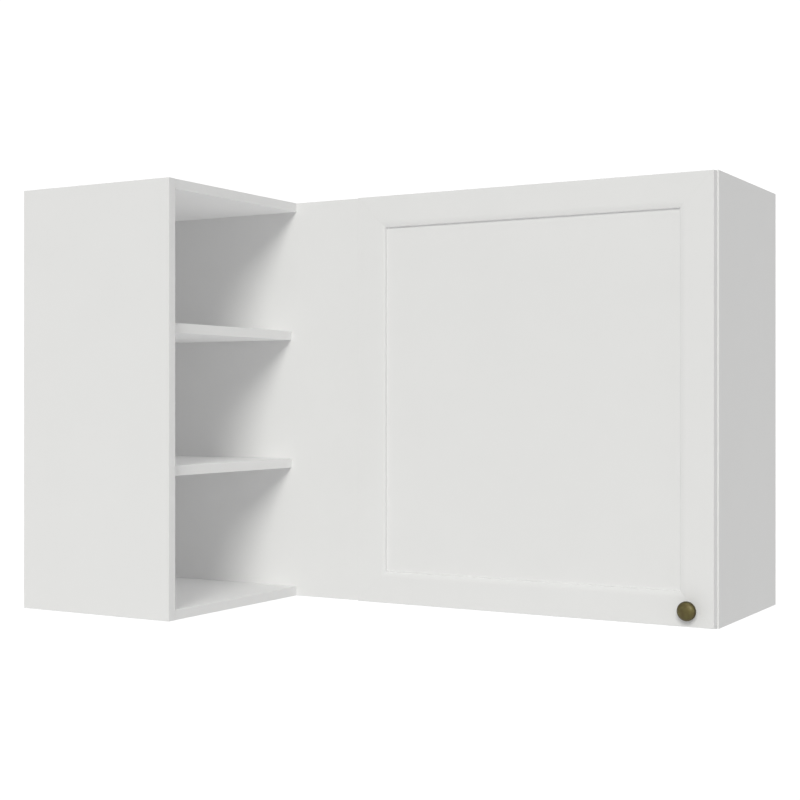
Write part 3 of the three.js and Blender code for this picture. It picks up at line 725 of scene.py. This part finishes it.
for size in screws.values():
    pattern = screwMesh(size)
    for number, node in enumerate(size["nodes"]):
        copy = pattern.copy()
        drivenHome = Matrix.Rotation(screwForm["firstTurn"] + screwForm["nextTurn"] * number, 4, "Z")
        placed(copy, size["turn"] @ drivenHome, screwSeat(node, size))
        finishPiece(copy, f"{node}_cross_head", node, ("zinc",))
    pattern.free()
print("screws cut:", sum(len(size["nodes"]) for size in screws.values()))


# shelf pins: a rod with a thin collar that stops at the wall

pins = {"radius": 2.5 * mm, "length": 16.0 * mm, "embed": 8.0 * mm, "tipRadius": 1.0 * mm,
        "leadIn": 0.4 * mm, "leadLength": 0.6 * mm, "collarRadius": 3.6 * mm, "collarBack": 0.1 * mm,
        "collarFront": 0.7 * mm, "collarChamfer": 0.15 * mm, "tipArc": (0, 90, 4), "steps": 28}


def makeShelfPin(node):
    size = pins
    low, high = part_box(node)
    onLeft = low.x < 0
    radius, embed, tip = size["radius"], size["embed"], size["tipRadius"]
    collar, chamfer = size["collarRadius"], size["collarChamfer"]
    back, front = size["collarBack"], size["collarFront"]
    out = size["length"] - embed
    profile = [(0, -embed), (radius - size["leadIn"], -embed)]
    profile += [(radius, -embed + size["leadLength"]), (radius, back)]
    profile += [(collar - chamfer, back), (collar, back + chamfer)]
    profile += [(collar, front - chamfer), (collar - chamfer, front), (radius, front)]
    profile += arc(radius - tip, out - tip, tip, *size["tipArc"])
    bm = turnedMesh(profile + [(0, out)], size["steps"])
    wallX = low.x + embed if onLeft else high.x - embed
    middle = (low + high) / 2
    placed(bm, towardsRight if onLeft else towardsLeft, (wallX, middle.y, middle.z))
    finishPiece(bm, f"{node}_turned", node, ("nickel",))


pinNodes = [node for node in sorted(nodes) if node.startswith("shelf_pin_")]
for node in pinNodes:
    makeShelfPin(node)
print("shelf pins turned:", len(pinNodes))


# bumpers: clear domes stuck inside the door

bumper = {"radius": 4.0 * mm, "foot": 0.35 * mm, "domeSteps": 8, "steps": 32}


def makeBumper(node):
    low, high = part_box(node)
    radius, foot = bumper["radius"], bumper["foot"]
    profile = [(0, 0), (radius, 0), (radius, foot)]
    profile += cap(radius, foot, high.y - low.y - foot, bumper["domeSteps"])
    bm = turnedMesh(profile, bumper["steps"])
    placed(bm, towardsWall, ((low.x + high.x) / 2, low.y, (low.z + high.z) / 2))
    finishPiece(bm, f"{node}_dome", node, ("rubber",))


for end in ("top", "bottom"):
    makeBumper(f"door_bumper_{end}")
print("bumpers made")


# hinges: pressed and plated parts with softened edges

pressed = {                   # radius of each part's softened edges, and its segments
    "hinge_arm": (0.35 * mm, 2), "hinge_plate": (0.35 * mm, 2), "hinge_inner_link": (0.45 * mm, 2),
    "hinge_outer_link": (0.45 * mm, 2), "hinge_cup": (0.22 * mm, 1),
}


def makePressed(node, radius, segments):
    bm = nodeMesh(node, roundWalls=True)
    soften(bm, sharpEdges(bm), radius, segments)
    finishPiece(bm, f"{node}_pressed", node, ("nickel",))


for level in levels:
    for stem, rounding in pressed.items():
        makePressed(f"{stem}_{level}", *rounding)

adjusters = {"fromFront": 16.0 * mm, "fromRear": 9.0 * mm, "abovePlate": 2.0 * mm,
             "screw": {"head": 3.1 * mm, "rise": 1.0 * mm, "shank": 1.6 * mm, "length": 4.0 * mm}}


def makeAdjusters(level):
    # the two screws on the arm that move the door in and out and fix the arm to its plate
    low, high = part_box(f"hinge_plate_{level}")
    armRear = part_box(f"hinge_arm_{level}")[1].y
    seat = high.x + adjusters["abovePlate"]
    places = {"front": low.y + adjusters["fromFront"], "rear": armRear - adjusters["fromRear"]}
    for place, y in places.items():
        bm = screwMesh(adjusters["screw"])
        placed(bm, towardsRight, (seat, y, (low.z + high.z) / 2))
        finishPiece(bm, f"hinge_adjuster_{level}_{place}", None, ("zinc",), "carcass")


for level in levels:
    makeAdjusters(level)
print("hinges finished")


# joining dowels: their own shape, in beech

for node in sorted(nodes):
    if node.startswith("joining_dowel_"):
        nodes[node].data.materials.clear()
        nodes[node].data.materials.append(materials["dowel"])
print("dowels coloured")


# camera, light and stage

camera = {"place": (1.2476, -2.5043, 0.0), "turn": (90.0, 0.0, 30.0), "lens": 66.6, "sensor": 36.0,
          "shiftY": -0.0008, "clipEnd": 50.0}
lamps = {                     # parallel lights: the key throws the shadows, the fills throw none
    "key": {"travel": (-0.355, 1.0, -0.48), "strength": 1.46, "spread": 20.0, "color": (1.0, 1.0, 0.957)},
    "fillLeft": {"travel": (1.0, 0.2, 0.0), "strength": 0.35},
    "fillRight": {"travel": (-1.0, 0.22, 0.0), "strength": 0.19},
    "fillBelow": {"travel": (0.0, -0.5, 1.0), "strength": 0.62},
    "fillAbove": {"travel": (0.0, 0.3, -1.0), "strength": 0.35},
}
fillSpread = 30.0
roomLight = 0.442             # the even light of the room, which also darkens corners a little
roomShown = 1.08              # what the camera sees behind the object
stage = {"width": 5.0, "height": -1.8, "color": (0.85, 0.85, 0.85, 1), "glow": 0.36,
         "fadeFrom": 1.9, "fadeTo": 2.48}      # radii over which the floor runs out into white


def makeCamera():
    data = bpy.data.cameras.new("photoCamera")
    data.lens = camera["lens"]
    data.sensor_width = camera["sensor"]
    data.shift_y = camera["shiftY"]
    data.clip_end = camera["clipEnd"]
    made = bpy.data.objects.new("photoCamera", data)
    made.location = camera["place"]
    made.rotation_euler = [math.radians(angle) for angle in camera["turn"]]
    bpy.context.scene.collection.objects.link(made)
    bpy.context.scene.camera = made


def makeLamp(name):
    lamp = lamps[name]
    data = bpy.data.lights.new(name, "SUN")
    data.energy = lamp["strength"]
    data.angle = math.radians(lamp.get("spread", fillSpread))
    data.color = lamp.get("color", (1, 1, 1))
    data.use_shadow = name == "key"
    made = bpy.data.objects.new(name, data)
    made.rotation_euler = Vector(lamp["travel"]).to_track_quat("-Z", "Y").to_euler()
    bpy.context.scene.collection.objects.link(made)


def shownDirectly(tree):
    # 1 for rays from the camera and for what gloss and glass show, 0 for light on the object
    path = addNode(tree, "ShaderNodeLightPath")
    first = addNode(tree, "ShaderNodeMath", {"operation": "MAXIMUM"},
                    {0: path.outputs["Is Camera Ray"], 1: path.outputs["Is Glossy Ray"]})
    return addNode(tree, "ShaderNodeMath", {"operation": "MAXIMUM"},
                   {0: first.outputs[0], 1: path.outputs["Is Transmission Ray"]}).outputs[0]


def makeSky():
    world = bpy.data.worlds.new("paleRoom")
    bpy.context.scene.world = world
    world.use_nodes = True
    tree = world.node_tree
    tree.nodes.clear()
    strength = addNode(tree, "ShaderNodeMix", {"data_type": "FLOAT"},
                       {"Factor": shownDirectly(tree), 2: roomLight, 3: roomShown})
    back = addNode(tree, "ShaderNodeBackground", None,
                   {"Color": (1, 1, 1, 1), "Strength": strength.outputs[0]})
    output = addNode(tree, "ShaderNodeOutputWorld")
    tree.links.new(back.outputs[0], output.inputs["Surface"])


def makeFloor():
    bm = bmesh.new()
    bmesh.ops.create_grid(bm, x_segments=1, y_segments=1, size=stage["width"] / 2)
    bmesh.ops.translate(bm, vec=(0, 0, stage["height"]), verts=bm.verts[:])
    floor = meshObject(bm, "paleFloor")
    material, tree = makeTree("paleFloorPaint")
    level = addNode(tree, "ShaderNodeVectorMath", {"operation": "MULTIPLY"},
                    {0: objectCoords(tree), 1: (1, 1, 0)})
    radius = addNode(tree, "ShaderNodeVectorMath", {"operation": "LENGTH"}, {0: level.outputs[0]})
    fade = addNode(tree, "ShaderNodeMapRange", {"interpolation_type": "SMOOTHSTEP"},
                   {"Value": radius.outputs["Value"], "From Min": stage["fadeFrom"],
                    "From Max": stage["fadeTo"], "To Min": stage["glow"], "To Max": 1.0})
    glow = addNode(tree, "ShaderNodeMath", {"operation": "MULTIPLY"},
                   {0: shownDirectly(tree), 1: fade.outputs["Result"]})
    shader = addNode(tree, "ShaderNodeBsdfPrincipled", None, {
        "Base Color": stage["color"], "Roughness": 0.9, "Specular IOR Level": 0.1,
        "Emission Color": (1, 1, 1, 1), "Emission Strength": glow.outputs[0],
    })
    closeSurface(tree, shader)
    floor.data.materials.append(material)


makeCamera()
for name in lamps:
    makeLamp(name)
makeSky()
makeFloor()
bpy.context.scene.view_settings.view_transform = "Standard"
print("camera, light and floor set")
